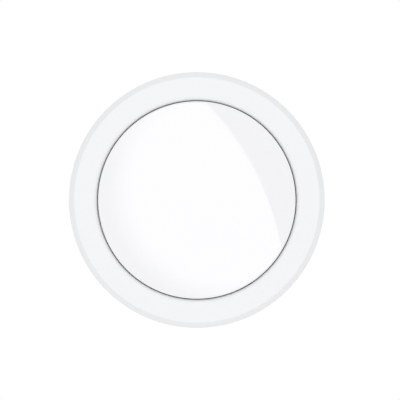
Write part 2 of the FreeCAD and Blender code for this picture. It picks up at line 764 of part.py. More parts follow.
def board_chips():
    """Controller, memory and two sensors that watch the ring's magnets."""
    over_display = (DISPLAY_HEIGHT + CONTROLLER_WIDTH) / 2 + CHIP_GAP
    beside_display = (DISPLAY_WIDTH + MEMORY_WIDTH) / 2 + CHIP_GAP
    controller = on_board(-CONTROLLER_LENGTH, over_display, CONTROLLER_LENGTH, CONTROLLER_WIDTH, CHIP_HEIGHT)
    memory = on_board(beside_display, 0, MEMORY_WIDTH, MEMORY_LENGTH, CHIP_HEIGHT)
    sensor = on_board(BOARD_RADIUS - CHIP_GAP - RING_SENSOR_WIDTH / 2, 0, RING_SENSOR_WIDTH,
                      RING_SENSOR_LENGTH, RING_SENSOR_HEIGHT)
    return [controller, memory] + [turned_by(sensor, angle) for angle in RING_SENSOR_PLACES_DEG]


def radio_module():
    """The radio's own small board under a shield can."""
    y = RADIO_EDGE + RADIO_WIDTH / 2 - BOARD_RADIUS
    base = on_board(0, y, RADIO_LENGTH, RADIO_WIDTH, RADIO_THICKNESS)
    x = SHIELD_MARGIN + (SHIELD_LENGTH - RADIO_LENGTH) / 2
    can = on_board(x, y, SHIELD_LENGTH, RADIO_WIDTH - 2 * SHIELD_MARGIN, RADIO_THICKNESS + SHIELD_HEIGHT)
    return base.fuse(can).removeSplitter()


def tact_switches():
    return bars(SWITCH_WIDTH, board_front, switch_front)


def bars(width, z0, z1):
    """A square bar at the place of each switch."""
    half = width / 2
    return [block(x - half, x + half, y - half, y + half, z0, z1) for x, y in SWITCH_PLACES]


def display_module():
    return on_board(0, 0, DISPLAY_WIDTH, DISPLAY_HEIGHT, DISPLAY_DEPTH)


def light_mask():
    """A black grid that keeps each light of the display in its own cell."""
    front = display_front + MASK_DEPTH
    body = block(-DISPLAY_WIDTH / 2, DISPLAY_WIDTH / 2, -DISPLAY_HEIGHT / 2, DISPLAY_HEIGHT / 2,
                 display_front, front)
    holes = []
    for column in range(MASK_COLUMNS):
        for row in range(MASK_ROWS):
            x = (column - (MASK_COLUMNS - 1) / 2) * MASK_PITCH
            y = (row - (MASK_ROWS - 1) / 2) * MASK_PITCH
            half = MASK_CELL / 2
            holes.append(block(x - half, x + half, y - half, y + half, display_front, front))
    return body.cut(Part.Compound(holes))


def temperature_sensor():
    """A slim board with the sensor at its end, behind the vents."""
    rear = vent_front - VENT_LENGTH
    strip = block(-SENSOR_WIDTH / 2, SENSOR_WIDTH / 2, sensor_low, sensor_high, rear, frame_front)
    bead_rear = rear + BEAD_FROM_END
    bead = block(-BEAD_SIZE / 2, BEAD_SIZE / 2, sensor_high, sensor_high + BEAD_HEIGHT,
                 bead_rear, bead_rear + BEAD_LENGTH)
    return strip.fuse(bead).removeSplitter()


def sensor_slot():
    half = SENSOR_WIDTH / 2 + SEAT
    return block(-half, half, sensor_low - SEAT, sensor_high + SEAT, frame_rear, frame_front)


# Setting ring and its magnets
def magnet(clearance):
    half = MAGNET_WIDTH / 2 + clearance
    inner = RING_BORE_RADIUS + MAGNET_INSET
    return block(inner - clearance, inner + MAGNET_HEIGHT + clearance, -half, half,
                 ring_rear, ring_rear + MAGNET_LENGTH + clearance)


def setting_ring():
    """A ring with a front lip that reaches in to the cover and a chamfer round the outside."""
    lip_rear = ring_front - RING_LIP
    body = turned([
        (RING_BORE_RADIUS, ring_rear), (BODY_RADIUS, ring_rear),
        (BODY_RADIUS, ring_front - RING_CHAMFER), (BODY_RADIUS - RING_CHAMFER, ring_front),
        (RING_HOLE_RADIUS, ring_front), (RING_HOLE_RADIUS, lip_rear), (RING_BORE_RADIUS, lip_rear),
    ])
    return body.cut(Part.Compound(spaced(magnet(SEAT), MAGNET_COUNT)))


# Front cover and what moves with it
def front_cover():
    return disc(COVER_RADIUS, cover_back, cover_front)


def button_frame():
    """A square frame with four arms, and hooks that stop under the front frame's lip."""
    side = BUTTON_FRAME_SIZE / 2
    half = HOOK_WIDTH / 2
    square = block(-side, side, -side, side, button_frame_rear, cover_back)
    arm = block(0, button_frame_radius - HOOK_ROOM, -half, half, button_frame_rear, cover_back)
    x, y = DISPLAY_WIDTH / 2 + HOOK_ROOM, DISPLAY_HEIGHT / 2 + HOOK_ROOM
    body = square.fuse(spaced(arm, HOOK_COUNT, HOOK_START_DEG))
    body = body.cut(block(-x, x, -y, y, button_frame_rear, cover_back))
    barb_front = frame_lip_rear - HOOK_PLAY
    barb_rear = barb_front - HOOK_BARB
    wall = button_frame_radius - HOOK_WALL
    leg = block(wall, button_frame_radius - HOOK_ROOM, -half, half, barb_rear, cover_back)
    barb = block(wall, FRAME_BORE_RADIUS + HOOK_REACH, -half, half, barb_rear, barb_front)
    return body.fuse(spaced(leg.fuse(barb), HOOK_COUNT, HOOK_START_DEG)).removeSplitter()


def switch_stems():
    return bars(STEM_WIDTH, switch_front + BUTTON_TRAVEL + RUNNING, button_frame_rear)


# Write every piece
save("union_nut", union_nut())
save("collar", collar())
save("housing", housing())
save("battery_cover", battery_cover())
save("gear_case", gear_case())
save("thrust_plate", thrust_plate())
save("gear_pillars", *[post(plate_front, bridge_rear, -SEAT, side) for side in (-1, 1)])
save("bridge_plate", bridge_plate())
save("case_lid", case_lid())
save("gear_pins", disc(PIN_RADIUS, screw_space + PLATE_THICKNESS + AXIAL_PLAY, bridge_front),
     disc(PIN_RADIUS, plate_rear, lid_front, AXIS_B))
save("output_sleeve", output_sleeve())
save("output_wheel", output_wheel())
save("third_gear", compound_gear(output_rear - AXIAL_PLAY, third_rear, third_front, AXIS_B, TOWARDS_A))
save("second_gear", compound_gear(output_front + 2 * AXIAL_PLAY, second_rear, second_front, AXIS_A,
                                  TOWARDS_B))
save("first_gear", compound_gear(third_front + 2 * AXIAL_PLAY, first_rear, first_front, AXIS_B,
                                 TOWARDS_A))
save("motor_pinion", motor_pinion())
save("motor_shaft", motor_shaft())
save("motor_can", motor_can())
save("motor_cap", motor_cap())
save("motor_flex", motor_flex())
save("plunger", plunger())
save("battery_cradle", battery_cradle())
save("left_cell", cell(-1, True))
save("right_cell", cell(1, False))
save("contact_bridge", contact_bridge())
save("front_contacts", *front_contacts())
save("front_frame", front_frame())
save("main_board", main_board())
save("board_chips", *board_chips())
save("radio_module", radio_module())
save("tact_switches", *tact_switches())
save("display_module", display_module())
save("light_mask", light_mask())
save("temperature_sensor", temperature_sensor())
save("setting_ring", setting_ring())
save("ring_magnets", *spaced(magnet(0), MAGNET_COUNT))
save("front_cover", front_cover())
save("button_frame", button_frame())
save("switch_stems", *switch_stems())
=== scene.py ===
from math import asin, cos, pi, radians, sin, sqrt

import bmesh
import bpy
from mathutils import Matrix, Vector


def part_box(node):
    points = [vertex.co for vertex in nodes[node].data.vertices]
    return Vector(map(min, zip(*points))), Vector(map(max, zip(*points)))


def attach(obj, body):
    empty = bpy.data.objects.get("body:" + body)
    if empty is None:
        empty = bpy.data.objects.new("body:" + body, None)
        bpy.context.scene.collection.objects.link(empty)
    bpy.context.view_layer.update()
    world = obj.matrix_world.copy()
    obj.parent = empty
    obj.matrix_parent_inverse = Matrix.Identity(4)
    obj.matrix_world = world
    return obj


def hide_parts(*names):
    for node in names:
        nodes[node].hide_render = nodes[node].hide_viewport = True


# The object stands in metres as the CAD has it: the front faces -Y, the valve is at +Y, +Z is up.
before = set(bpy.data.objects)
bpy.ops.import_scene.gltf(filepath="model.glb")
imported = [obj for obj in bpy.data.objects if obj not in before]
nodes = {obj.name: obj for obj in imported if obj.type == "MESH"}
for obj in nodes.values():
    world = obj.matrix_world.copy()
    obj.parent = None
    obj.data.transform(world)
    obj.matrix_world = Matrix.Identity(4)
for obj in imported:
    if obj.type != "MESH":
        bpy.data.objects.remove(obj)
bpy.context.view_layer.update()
bpy.context.scene.view_settings.view_transform = "Standard"


# Body shell: a deep cup of matt white plastic, injection moulded with a rounded rear edge. Seven slots
# in its top let the room's air in to the sensor, and the cells go in through its underside.
shell_low, shell_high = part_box("housing")
door_low, door_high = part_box("battery_cover")
shell_radius = shell_high.x
SHELL_WALL = 0.0018
SHELL_REAR_WALL = 0.002
SHELL_REAR_ROUND = 0.002
SHELL_FRONT_ROUND = 0.0002
SHELL_EDGE = 0.00012
COLLAR_HOLE_RADIUS = 0.01082
DOOR_GAP = 0.0002
VENT_COUNT = 7
VENT_WIDTH = 0.0012
VENT_LENGTH = 0.005
VENT_ROUND = 0.49 * VENT_WIDTH
VENT_STEP = radians(6.5)
VENT_SETBACK = 0.007
WHITE_SHELL = (0.86, 0.868, 0.885)
SAME_PLACE = 1e-7
WELD_REACH = 1e-6
DOT_RADIUS = 1e-5
RIM_REACH = 2e-5
CUT_MARGIN = 0.001


def new_piece(name):
    """An empty mesh object at the origin, open in edit mode."""
    bpy.ops.object.select_all(action="DESELECT")
    bpy.ops.object.add(type="MESH")
    piece = bpy.context.object
    piece.name = piece.data.name = name
    bpy.ops.object.mode_set(mode="EDIT")
    bpy.ops.mesh.select_mode(type="VERT")
    return piece


def merge_doubles():
    """Merges the points of the open mesh that are at one place, and leaves everything selected."""
    bpy.ops.mesh.select_all(action="SELECT")
    bpy.ops.mesh.remove_doubles(threshold=SAME_PLACE)


def finish_edit():
    """Merges doubles, turns the faces outwards and leaves edit mode."""
    merge_doubles()
    bpy.ops.mesh.normals_make_consistent(inside=False)
    bpy.ops.object.mode_set(mode="OBJECT")


def draw_line(points, closed=False):
    """Draws a line of edges through points, which are (x, y) or (x, y, z)."""
    corners = [Vector(p).to_3d() for p in points]
    following = corners[1:] + corners[:1] if closed else corners[1:]
    bpy.ops.mesh.primitive_circle_add(vertices=3, radius=DOT_RADIUS, location=corners[0])
    bpy.ops.mesh.merge(type="CENTER")
    for here, there in zip(corners, following):
        bpy.ops.mesh.extrude_region_move(TRANSFORM_OT_translate={"value": there - here})


def turned(name, profile, steps=160):
    """A piece spun from a profile of (radius, y) points, open only along the axis, still in edit mode."""
    piece = new_piece(name)
    draw_line(profile, closed=profile[0][0] > 0 or profile[-1][0] > 0)
    bpy.ops.mesh.select_all(action="SELECT")
    bpy.ops.mesh.spin(steps=steps, angle=2 * pi, center=(0, 0, 0), axis=(0, 1, 0))
    merge_doubles()
    return piece


def select_edges(piece, wanted):
    """Selects, in edit mode, only the edges for which wanted(edge) is true."""
    bpy.ops.mesh.select_all(action="DESELECT")
    bpy.ops.mesh.select_mode(type="EDGE")
    mesh = bmesh.from_edit_mesh(piece.data)
    for edge in mesh.edges:
        edge.select = wanted(edge)
    bmesh.update_edit_mesh(piece.data)


def round_rim(piece, radius, y, size, segments=4):
    """Rounds the circular edge at a radius and a place along the axis."""
    def on_rim(point):
        return abs(point.y - y) < RIM_REACH and abs(sqrt(point.x**2 + point.z**2) - radius) < RIM_REACH
    select_edges(piece, lambda edge: all(on_rim(v.co) for v in edge.verts))
    bpy.ops.mesh.bevel(offset=size, segments=segments, profile=0.5, affect="EDGES")


def pick(piece):
    """Makes a piece the active object and the only one that is selected."""
    bpy.ops.object.select_all(action="DESELECT")
    bpy.context.view_layer.objects.active = piece
    piece.select_set(True)


def apply_modifier(piece, kind, **settings):
    """Adds a modifier to a piece with its settings and applies it."""
    pick(piece)
    modifier = piece.modifiers.new(kind.title(), kind)
    for key, value in settings.items():
        setattr(modifier, key, value)
    bpy.ops.object.modifier_apply(modifier=modifier.name)


def cut_away(piece, cutter, operation="DIFFERENCE"):
    """Cuts a piece with another, which is then thrown away."""
    apply_modifier(piece, "BOOLEAN", object=cutter, operation=operation, solver="EXACT")
    apply_modifier(piece, "WELD", merge_threshold=WELD_REACH)
    bpy.data.objects.remove(cutter)


def smooth(piece, angle=35):
    """Shades a piece smooth, apart from edges sharper than an angle in degrees."""
    pick(piece)
    bpy.ops.object.shade_smooth_by_angle(angle=radians(angle))


def soften(piece, width, segments=2, angle=40):
    """Rounds the edges of a piece that are sharper than an angle in degrees, and shades it smooth."""
    apply_modifier(piece, "BEVEL", width=width, segments=segments, limit_method="ANGLE",
                   angle_limit=radians(angle), harden_normals=False)
    smooth(piece)


def fit(piece, body, slot, material, *replaced):
    """Joins a finished piece to its CAD body, gives it its material and hides the nodes it stands for; the
    slot is not used.
    """
    piece.data.materials.clear()
    piece.data.materials.append(material)
    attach(piece, body)
    if replaced:
        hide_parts(*replaced)


def new_group(name, inputs, outputs):
    """A shader node group with number inputs, each with its value, and number outputs."""
    group = bpy.data.node_groups.new(name, "ShaderNodeTree")
    for label, value in inputs.items():
        socket = group.interface.new_socket(label, in_out="INPUT", socket_type="NodeSocketFloat")
        socket.default_value = value
    for label in outputs:
        group.interface.new_socket(label, in_out="OUTPUT", socket_type="NodeSocketFloat")
    start = group.nodes.new("NodeGroupInput")
    end = group.nodes.new("NodeGroupOutput")
    return group, start, end


def add_node(tree, kind, **values):
    """A shader node with its settings; a name with a capital is a socket's."""
    node = tree.nodes.new("ShaderNode" + kind)
    for key, value in values.items():
        if key[0].isupper():
            node.inputs[key.replace("_", " ")].default_value = value
        else:
            setattr(node, key, value)
    return node


def add_math(tree, operation, second):
    """A Math node with its operation and its second value."""
    node = add_node(tree, "Math", operation=operation)
    node.inputs[1].default_value = second
    return node


def add_mix(tree, under, over):
    """A Mix node from one colour to another."""
    return add_node(tree, "Mix", data_type="RGBA", A=(*under, 1.0), B=(*over, 1.0))


def moulded_grain():
    """The fine spark-eroded texture of a mould and the slow unevenness of the plastic's surface."""
    group, start, end = new_group(
        "moulded_grain", {"Grain per metre": 6000.0, "Unevenness": 0.5}, ["Height", "Mottle"])
    place = add_node(group, "TexCoord")
    grain = add_node(group, "TexNoise", Detail=3.0, Roughness=0.6)
    slow = add_node(group, "TexNoise", Scale=55.0, Detail=2.0)
    uneven = add_node(group, "Math", operation="MULTIPLY")
    link = group.links.new
    link(place.outputs["Object"], grain.inputs["Vector"])
    link(place.outputs["Object"], slow.inputs["Vector"])
    link(start.outputs["Grain per metre"], grain.inputs["Scale"])
    link(grain.outputs["Fac"], end.inputs["Height"])
    link(slow.outputs["Fac"], uneven.inputs[0])
    link(start.outputs["Unevenness"], uneven.inputs[1])
    link(uneven.outputs["Value"], end.inputs["Mottle"])
    return group


def handling_marks():
    """The soft smudges that fingers leave."""
    group, start, end = new_group("handling_marks", {"Smudge per metre": 38.0}, ["Smudge"])
    place = add_node(group, "TexCoord")
    smudge = add_node(group, "TexNoise", Detail=4.0, Roughness=0.55, Distortion=0.6)
    smudge_edge = add_node(group, "MapRange", From_Min=0.52, From_Max=0.68)
    link = group.links.new
    link(place.outputs["Object"], smudge.inputs["Vector"])
    link(start.outputs["Smudge per metre"], smudge.inputs["Scale"])
    link(smudge.outputs["Fac"], smudge_edge.inputs["Value"])
    link(smudge_edge.outputs["Result"], end.inputs["Smudge"])
    return group


grain_group, marks_group = moulded_grain(), handling_marks()


def plastic(name, colour, roughness, grain=6000.0, depth=0.000004, tone=0.03, marks=0.06):
    """Moulded plastic: fine grain, a slightly uneven tone, and smudges that change its gloss."""
    material = bpy.data.materials.new(name)
    material.use_nodes = True
    tree = material.node_tree
    shader = tree.nodes["Principled BSDF"]
    surface = add_node(tree, "Group", node_tree=grain_group)
    surface.inputs["Grain per metre"].default_value = grain
    handled = add_node(tree, "Group", node_tree=marks_group)
    tint = add_mix(tree, colour, [c * (1 - tone) for c in colour])
    gloss = add_node(tree, "MapRange", To_Min=roughness, To_Max=roughness + marks)
    bump = add_node(tree, "Bump", Distance=depth)
    link = tree.links.new
    link(surface.outputs["Mottle"], tint.inputs["Factor"])
    link(tint.outputs["Result"], shader.inputs["Base Color"])
    link(handled.outputs["Smudge"], gloss.inputs["Value"])
    link(gloss.outputs["Result"], shader.inputs["Roughness"])
    link(surface.outputs["Height"], bump.inputs["Height"])
    link(bump.outputs["Normal"], shader.inputs["Normal"])
    return material


shell_white = plastic("shell_white", WHITE_SHELL, roughness=0.42, grain=5200.0, depth=0.00001)
rear, front = shell_high.y, shell_low.y
inner_radius = shell_radius - SHELL_WALL
shell = turned("body_shell", [
    (COLLAR_HOLE_RADIUS, rear), (shell_radius, rear), (shell_radius, front), (inner_radius, front),
    (inner_radius, rear - SHELL_REAR_WALL), (COLLAR_HOLE_RADIUS, rear - SHELL_REAR_WALL)], steps=192)
round_rim(shell, shell_radius, rear, SHELL_REAR_ROUND, segments=7)
round_rim(shell, shell_radius, front, SHELL_FRONT_ROUND, segments=3)
finish_edit()

opening = new_piece("opening")
bpy.ops.mesh.primitive_cube_add(size=1, location=(0, (door_low.y + door_high.y) / 2, -shell_radius / 2))
bpy.ops.transform.resize(value=(
    door_high.x - door_low.x + 2 * DOOR_GAP, door_high.y - door_low.y + 2 * DOOR_GAP,
    shell_radius + 2 * CUT_MARGIN))
finish_edit()
cut_away(shell, opening)

vent_y = front + VENT_SETBACK + VENT_LENGTH / 2
vent_depth = SHELL_WALL + 2 * CUT_MARGIN
for i in range(VENT_COUNT):
    slot = new_piece("slot")
    bpy.ops.mesh.primitive_cube_add(size=1, location=(0, vent_y, inner_radius + SHELL_WALL / 2))
    bpy.ops.transform.resize(value=(VENT_WIDTH, VENT_LENGTH, vent_depth))
    select_edges(slot, lambda edge: abs(edge.verts[0].co.z - edge.verts[1].co.z) > vent_depth / 2)
    bpy.ops.mesh.bevel(offset=VENT_ROUND, segments=5, affect="EDGES")
    bpy.ops.mesh.select_all(action="SELECT")
    bpy.ops.transform.rotate(value=VENT_STEP * (i - (VENT_COUNT - 1) / 2), orient_axis="Y",
                             center_override=(0, 0, 0))
    finish_edit()
    cut_away(shell, slot)
soften(shell, SHELL_EDGE)
apply_modifier(shell, "WEIGHTED_NORMAL", keep_sharp=True)
fit(shell, "body", "body_white", shell_white, "housing")


# Union nut: turned brass with a satin nickel plating, which screws on the valve. Twelve scallops give a
# grip, the thread is M30 x 1.5, and a lip at its front end draws the collar against the valve.
NUT_RADIUS = 0.0185
NUT_LENGTH = 0.014
NUT_LIP_RADIUS = 0.01188
NUT_LIP = 0.0026
NUT_EDGE = 0.0006
SCALLOP_COUNT = 12
SCALLOP_RADIUS = 0.002056
SCALLOP_DEPTH = 0.0009
SCALLOP_EDGE = 0.00022
THREAD_CREST = 0.01419
THREAD_ROOT = 0.01492
THREAD_LENGTH = 0.0086
THREAD_PITCH = 0.0015
THREAD_FOOT_SHARE = 0.9
THREAD_TOP_SHARE = 0.14
THREAD_SINK = 0.00005
THREAD_MARGIN = 0.0001
SPARE_TURNS = 3
ALONG_Y = (radians(90), 0, 0)
GLOSS_SWING = (0.8, 1.3)
NICKEL = (0.66, 0.64, 0.60)


def turning_marks():
    """Fine lines round the head's axis, as a lathe tool leaves them, and a slow unevenness of the metal."""
    group, start, end = new_group("turning_marks", {"Lines per metre": 7000.0}, ["Height", "Mottle"])
    place = add_node(group, "TexCoord")
    parts = add_node(group, "SeparateXYZ")
    across = add_node(group, "CombineXYZ")
    radius = add_node(group, "VectorMath", operation="LENGTH")
    along = add_node(group, "CombineXYZ")
    lines = add_node(group, "TexNoise", Detail=3.0, Roughness=0.7)
    slow = add_node(group, "TexNoise", Scale=160.0, Detail=3.0)
    link = group.links.new
    link(place.outputs["Object"], parts.inputs["Vector"])
    link(parts.outputs["X"], across.inputs["X"])
    link(parts.outputs["Z"], across.inputs["Z"])
    link(across.outputs["Vector"], radius.inputs[0])
    link(radius.outputs["Value"], along.inputs["X"])
    link(parts.outputs["Y"], along.inputs["Y"])
    link(along.outputs["Vector"], lines.inputs["Vector"])
    link(start.outputs["Lines per metre"], lines.inputs["Scale"])
    link(place.outputs["Object"], slow.inputs["Vector"])
    link(lines.outputs["Fac"], end.inputs["Height"])
    link(slow.outputs["Fac"], end.inputs["Mottle"])
    return group


turned_group = turning_marks()


def metal(name, colour, roughness, marks, depth=0.000002, tarnish=0.12):
    """Bare or plated metal with the marks of how it was made, and a tone and gloss that vary a little."""
    material = bpy.data.materials.new(name)
    material.use_nodes = True
    tree = material.node_tree
    shader = tree.nodes["Principled BSDF"]
    shader.inputs["Metallic"].default_value = 1.0
    surface = add_node(tree, "Group", node_tree=marks)
    patch = add_node(tree, "MapRange", From_Min=0.35, From_Max=0.7)
    tint = add_mix(tree, colour, [c * (1 - tarnish) for c in colour])
    smoothest, roughest = roughness * GLOSS_SWING[0], roughness * GLOSS_SWING[1]
    gloss = add_node(tree, "MapRange", To_Min=smoothest, To_Max=roughest)
    bump = add_node(tree, "Bump", Distance=depth)
    link = tree.links.new
    link(surface.outputs["Mottle"], patch.inputs["Value"])
    link(patch.outputs["Result"], tint.inputs["Factor"])
    link(tint.outputs["Result"], shader.inputs["Base Color"])
    link(surface.outputs["Height"], gloss.inputs["Value"])
    link(gloss.outputs["Result"], shader.inputs["Roughness"])
    link(surface.outputs["Height"], bump.inputs["Height"])
    link(bump.outputs["Normal"], shader.inputs["Normal"])
    return material


def round_the_axis(count, radius, start=0.0):
    """Places (x, z) evenly round the head's axis, the first at an angle in degrees."""
    angles = [radians(start) + 2 * pi * i / count for i in range(count)]
    return [(radius * cos(a), radius * sin(a)) for a in angles]


def screw_thread(name, root, crest, rear_y, front_y, kept):
    """A helical ridge between two radii, of which only what lies in the kept, turned shape stays."""
    piece = new_piece(name)
    start_y = front_y - THREAD_PITCH
    half_foot, half_top = THREAD_PITCH * THREAD_FOOT_SHARE / 2, THREAD_PITCH * THREAD_TOP_SHARE / 2
    draw_line([(root, start_y - half_foot), (crest, start_y - half_top), (crest, start_y + half_top),
               (root, start_y + half_foot)], closed=True)
    bpy.ops.object.mode_set(mode="OBJECT")
    turns = int((rear_y - front_y) / THREAD_PITCH) + SPARE_TURNS
    apply_modifier(piece, "SCREW", axis="Y", screw_offset=THREAD_PITCH, iterations=turns, steps=72,
                   render_steps=72)
    bpy.ops.object.mode_set(mode="EDIT")
    bpy.ops.mesh.select_all(action="SELECT")
    bpy.ops.mesh.fill_holes(sides=0)
    finish_edit()
    keeper = turned("keeper", kept)
    finish_edit()
    cut_away(piece, keeper, "INTERSECT")
    smooth(piece, angle=30)
    return piece


nickel = metal("satin_nickel", NICKEL, roughness=0.24, marks=turned_group, depth=0.000003)
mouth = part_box("union_nut")[1].y
nut_front = mouth - NUT_LENGTH
lip_rear = nut_front + NUT_LIP
nut = turned("nut_grip", [
    (THREAD_ROOT, mouth), (NUT_RADIUS, mouth), (NUT_RADIUS, nut_front), (NUT_LIP_RADIUS, nut_front),
    (NUT_LIP_RADIUS, lip_rear), (THREAD_ROOT, lip_rear)], steps=192)
round_rim(nut, NUT_RADIUS, mouth, NUT_EDGE, segments=3)
round_rim(nut, NUT_RADIUS, nut_front, NUT_EDGE, segments=3)
round_rim(nut, THREAD_ROOT, mouth, NUT_EDGE, segments=1)
finish_edit()
scallops = new_piece("scallops")
for x, z in round_the_axis(SCALLOP_COUNT, NUT_RADIUS - SCALLOP_DEPTH + SCALLOP_RADIUS):
    bpy.ops.mesh.primitive_cylinder_add(
        vertices=40, radius=SCALLOP_RADIUS, depth=NUT_LENGTH + 2 * CUT_MARGIN, rotation=ALONG_Y,
        location=(x, mouth - NUT_LENGTH / 2, z))
finish_edit()
cut_away(nut, scallops)
soften(nut, SCALLOP_EDGE, segments=3, angle=35)
fit(nut, "nut", "nickel", nickel, "union_nut")

thread_front = mouth - THREAD_LENGTH
mouth_radius = THREAD_ROOT + NUT_EDGE
cone_front = mouth - (mouth_radius - THREAD_CREST)
thread = screw_thread("nut_thread", THREAD_ROOT + THREAD_SINK, THREAD_CREST, mouth, thread_front, [
    (mouth_radius, mouth), (THREAD_CREST, cone_front), (THREAD_CREST - THREAD_MARGIN, cone_front),
    (THREAD_CREST - THREAD_MARGIN, thread_front), (mouth_radius, thread_front)])
fit(thread, "nut", "nickel", nickel)


# Collar: glass-filled nylon, moulded, with a rim that sits on the valve. Three countersunk screws clamp
# the body's rear wall to the gear case behind it, and the plunger slides in its flat-sided guide.
collar_low, collar_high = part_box("collar")
FLANGE_RADIUS = 0.01394
FLANGE_THICKNESS = 0.0021
FLANGE_ROUND = 0.0004
NECK_RADIUS = 0.0118
SPIGOT_RADIUS = 0.0108
COLLAR_EDGE = 0.0001
GUIDE_RADIUS = 0.00505
GUIDE_FLAT = 0.00415
SCREW_COUNT = 3
SCREW_CIRCLE = 0.0096
SCREW_START = 30.0
SCREW_HEAD_RADIUS = 0.0016
SCREW_HEAD_DEPTH = 0.0012
SCREW_FOOT_RADIUS = SCREW_HEAD_RADIUS / 2
SCREW_SINK = 0.0001
SCREW_EDGE = 0.00006
SOCKET_RADIUS = 0.0008
HOLE_TOP_RADIUS = 1.12 * SCREW_HEAD_RADIUS
HOLE_FOOT_RADIUS = 0.55 * SCREW_HEAD_RADIUS
HOLE_DEPTH = 1.2 * SCREW_HEAD_DEPTH
GREY_NYLON = (0.30, 0.31, 0.33)
ZINC = (0.60, 0.61, 0.63)


def keep_side(point, outward):
    """Cuts the open mesh by a plane, closes the cut and throws away the part on its outward side."""
    bpy.ops.mesh.select_all(action="SELECT")
    bpy.ops.mesh.bisect(plane_co=point, plane_no=outward, use_fill=True, clear_outer=True,
                        threshold=SAME_PLACE)


def double_d(name, radius, flat, rear_y, front_y):
    """A round bar with a flat above and below."""
    piece = new_piece(name)
    bpy.ops.mesh.primitive_cylinder_add(vertices=128, radius=radius, depth=rear_y - front_y,
                                        location=(0, (rear_y + front_y) / 2, 0), rotation=ALONG_Y)
    keep_side((0, 0, flat), (0, 0, 1))
    keep_side((0, 0, -flat), (0, 0, -1))
    finish_edit()
    return piece


def copy_moved(piece, name, step, turn=0.0):
    """A copy of a finished piece with a mesh of its own, turned about Z and then moved in its mesh."""
    copy = piece.copy()
    copy.data = piece.data.copy()
    copy.name = copy.data.name = name
    bpy.context.scene.collection.objects.link(copy)
    pick(copy)
    bpy.ops.object.mode_set(mode="EDIT")
    bpy.ops.mesh.select_all(action="SELECT")
    bpy.ops.transform.rotate(value=turn, orient_axis="Z", center_override=(0, 0, 0))
    bpy.ops.transform.translate(value=step)
    bpy.ops.object.mode_set(mode="OBJECT")
    return copy


def rolling_marks():
    """The fine straight lines of rolled or ground sheet, along X."""
    group, start, end = new_group("rolling_marks", {"Lines per metre": 5000.0}, ["Height", "Mottle"])
    place = add_node(group, "TexCoord")
    stretch = add_node(group, "Mapping", Scale=(0.02, 1.0, 1.0))
    lines = add_node(group, "TexNoise", Detail=3.0, Roughness=0.7)
    slow = add_node(group, "TexNoise", Scale=190.0, Detail=3.0)
    link = group.links.new
    link(place.outputs["Object"], stretch.inputs["Vector"])
    link(stretch.outputs["Vector"], lines.inputs["Vector"])
    link(start.outputs["Lines per metre"], lines.inputs["Scale"])
    link(place.outputs["Object"], slow.inputs["Vector"])
    link(lines.outputs["Fac"], end.inputs["Height"])
    link(slow.outputs["Fac"], end.inputs["Mottle"])
    return group


rolled_group = rolling_marks()
grey_nylon = plastic("grey_nylon", GREY_NYLON, roughness=0.46, grain=3200.0, depth=0.000012, tone=0.22,
                     marks=0.1)
flange_rear, collar_front = collar_high.y, collar_low.y
flange_front = flange_rear - FLANGE_THICKNESS
collar = turned("collar_flange", [
    (0, flange_rear), (FLANGE_RADIUS, flange_rear), (FLANGE_RADIUS, flange_front),
    (NECK_RADIUS, flange_front), (NECK_RADIUS, rear), (SPIGOT_RADIUS, rear), (SPIGOT_RADIUS, collar_front),
    (0, collar_front)], steps=128)
round_rim(collar, FLANGE_RADIUS, flange_rear, FLANGE_ROUND)
finish_edit()
guide = double_d("guide", GUIDE_RADIUS, GUIDE_FLAT, flange_rear + CUT_MARGIN, collar_front - CUT_MARGIN)
cut_away(collar, guide)
screw_places = round_the_axis(SCREW_COUNT, SCREW_CIRCLE, SCREW_START)
sinks = new_piece("sinks")
for x, z in screw_places:
    bpy.ops.mesh.primitive_cone_add(
        vertices=48, radius1=HOLE_TOP_RADIUS, radius2=HOLE_FOOT_RADIUS, depth=HOLE_DEPTH, rotation=ALONG_Y,
        location=(x, flange_rear - SCREW_HEAD_DEPTH / 2, z))
finish_edit()
cut_away(collar, sinks)
soften(collar, COLLAR_EDGE, angle=50)
fit(collar, "body", "grey_plastic", grey_nylon, "collar")

zinc_steel = metal("zinc_steel", ZINC, roughness=0.28, marks=rolled_group)
screw_head = new_piece("collar_screw")
bpy.ops.mesh.primitive_cone_add(
    vertices=48, radius1=SCREW_HEAD_RADIUS, radius2=SCREW_FOOT_RADIUS, depth=SCREW_HEAD_DEPTH,
    rotation=ALONG_Y, location=(0, flange_rear - SCREW_SINK - SCREW_HEAD_DEPTH / 2, 0))
finish_edit()
socket = new_piece("socket")
bpy.ops.mesh.primitive_cylinder_add(vertices=6, radius=SOCKET_RADIUS, depth=SCREW_HEAD_DEPTH,
                                    rotation=ALONG_Y, location=(0, flange_rear, 0))
finish_edit()
cut_away(screw_head, socket)
soften(screw_head, SCREW_EDGE, angle=30)
for i, (x, z) in enumerate(screw_places):
    copy = copy_moved(screw_head, "collar_screw_%d" % (i + 1), (x, 0, z))
    fit(copy, "body", "steel", zinc_steel)
bpy.data.objects.remove(screw_head)


# Gear case, its lid and its pillars: glass-filled nylon, moulded, screwed together round the train. The
# thrust plate and the bridge are stamped steel, and the two pins are ground steel rod.
SHEET_STEEL = (0.58, 0.59, 0.60)
GROUND_STEEL = (0.66, 0.66, 0.67)


def dress(material, *names):
    """Gives CAD nodes that keep their shape a material of their own."""
    for name in names:
        for place in nodes[name].material_slots:
            place.material = material


sheet_steel = metal("sheet_steel", SHEET_STEEL, roughness=0.3, marks=rolled_group, tarnish=0.15)
ground_steel = metal("ground_steel", GROUND_STEEL, roughness=0.16, marks=turned_group, depth=0.0000008)
dress(grey_nylon, "gear_case", "case_lid", "gear_pillars")
dress(sheet_steel, "thrust_plate", "bridge_plate")
dress(ground_steel, "gear_pins")


